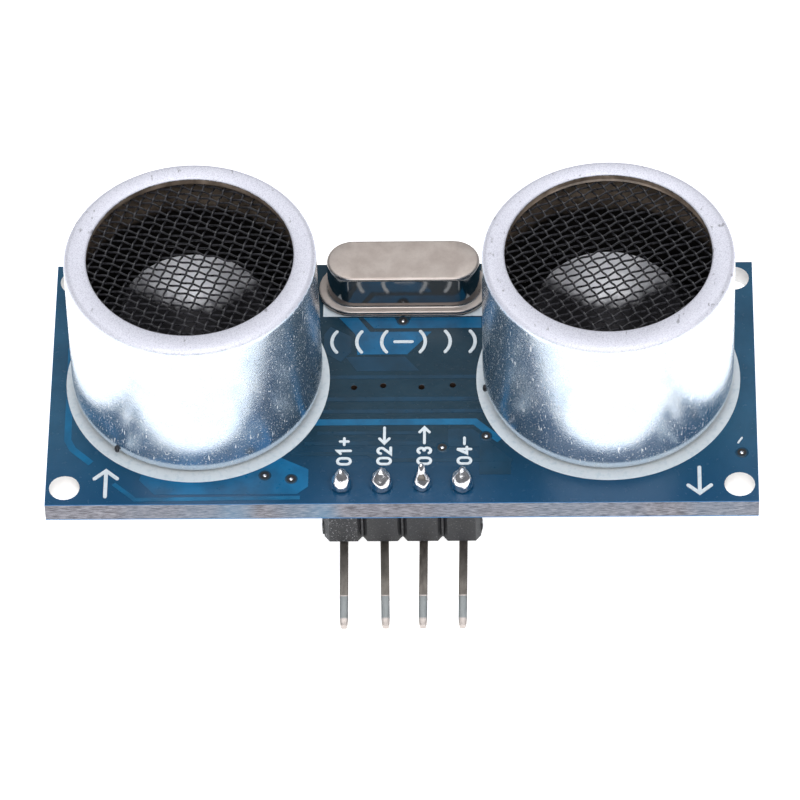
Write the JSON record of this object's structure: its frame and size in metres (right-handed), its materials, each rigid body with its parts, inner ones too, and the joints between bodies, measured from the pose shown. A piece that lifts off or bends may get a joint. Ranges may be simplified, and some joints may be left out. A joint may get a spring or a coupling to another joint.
{
  "type": "ultrasonic distance sensor",
  "caption": "Ultrasonic distance sensor module: blue circuit board with a transmitter and a receiver can behind woven screens, a metal crystal and a right-angle pin header.",
  "frame": {"origin": "centre of the circuit board's front face, between the two transducers", "axes": "+X along the board from transmitter to receiver, +Y away from the pin header, +Z out of the board in the sensing direction"},
  "size_m": [0.045, 0.026, 0.0172],
  "materials": {
    "board_mask": "glossy blue solder mask over fibreglass, bare at the edges",
    "can_aluminium": "satin drawn aluminium, finely scratched",
    "horn_aluminium": "satin spun aluminium",
    "plate_metal": "satin sheet",
    "screen_wire": "black woven wire",
    "piezo_ceramic": "silvered ceramic",
    "silicone": "matte silicone",
    "base_plastic": "pale moulded plastic",
    "copper_wire": "enamelled wire",
    "solder": "bright solder",
    "tinned_wire": "tinned wire",
    "pin_tin": "tinned square pin",
    "crystal_nickel": "satin nickel with rounded bright edges",
    "quartz": "polished quartz",
    "header_plastic": "black moulded plastic",
    "chip_epoxy": "black epoxy with tinned legs",
    "resistor_film": "black film between tinned ends",
    "capacitor_ceramic": "tan ceramic between tinned ends"
  },
  "bodies": {
    "module": {"circuit_board": "board_mask", "tx_can": "can_aluminium", "tx_screen": "screen_wire", "tx_cushion_ring": "silicone", "tx_base": "base_plastic", "tx_plate_wire": "copper_wire", "tx_piezo_wire": "copper_wire", "tx_lead_a": "tinned_wire", "tx_lead_b": "tinned_wire", "tx_solder_a": "solder", "tx_solder_b": "solder", "rx_can": "can_aluminium", "rx_screen": "screen_wire", "rx_cushion_ring": "silicone", "rx_base": "base_plastic", "rx_plate_wire": "copper_wire", "rx_piezo_wire": "copper_wire", "rx_lead_a": "tinned_wire", "rx_lead_b": "tinned_wire", "rx_solder_a": "solder", "rx_solder_b": "solder", "crystal_cap": "crystal_nickel", "crystal_base": "crystal_nickel", "crystal_blank": "quartz", "crystal_lead_a": "tinned_wire", "crystal_lead_b": "tinned_wire", "crystal_solder_a": "solder", "crystal_solder_b": "solder", "header_body": "header_plastic", "header_pin_1": "pin_tin", "header_pin_2": "pin_tin", "header_pin_3": "pin_tin", "header_pin_4": "pin_tin", "header_solder_1": "solder", "header_solder_2": "solder", "header_solder_3": "solder", "header_solder_4": "solder", "mcu_chip": "chip_epoxy", "amplifier_chip": "chip_epoxy", "driver_chip": "chip_epoxy", "regulator_transistor": "chip_epoxy", "resistor_1": "resistor_film", "resistor_2": "resistor_film", "resistor_3": "resistor_film", "resistor_4": "resistor_film", "resistor_5": "resistor_film", "resistor_6": "resistor_film", "capacitor_1": "capacitor_ceramic", "capacitor_2": "capacitor_ceramic", "capacitor_3": "capacitor_ceramic", "capacitor_4": "capacitor_ceramic", "capacitor_5": "capacitor_ceramic", "capacitor_6": "capacitor_ceramic"},
    "tx_resonator": {"tx_cone": "horn_aluminium", "tx_plate": "plate_metal", "tx_piezo_disc": "piezo_ceramic"},
    "rx_resonator": {"rx_cone": "horn_aluminium", "rx_plate": "plate_metal", "rx_piezo_disc": "piezo_ceramic"}
  },
  "joints": [
    {"name": "tx_resonator_stroke", "type": "slide", "parent": "module", "child": "tx_resonator", "axis": [0, 0, 1], "range_m": [-0.000008, 0.000008], "stiffness_N_per_m": 20000},
    {"name": "rx_resonator_stroke", "type": "slide", "parent": "module", "child": "rx_resonator", "axis": [0, 0, 1], "range_m": [-0.000008, 0.000008], "stiffness_N_per_m": 20000}
  ]
}
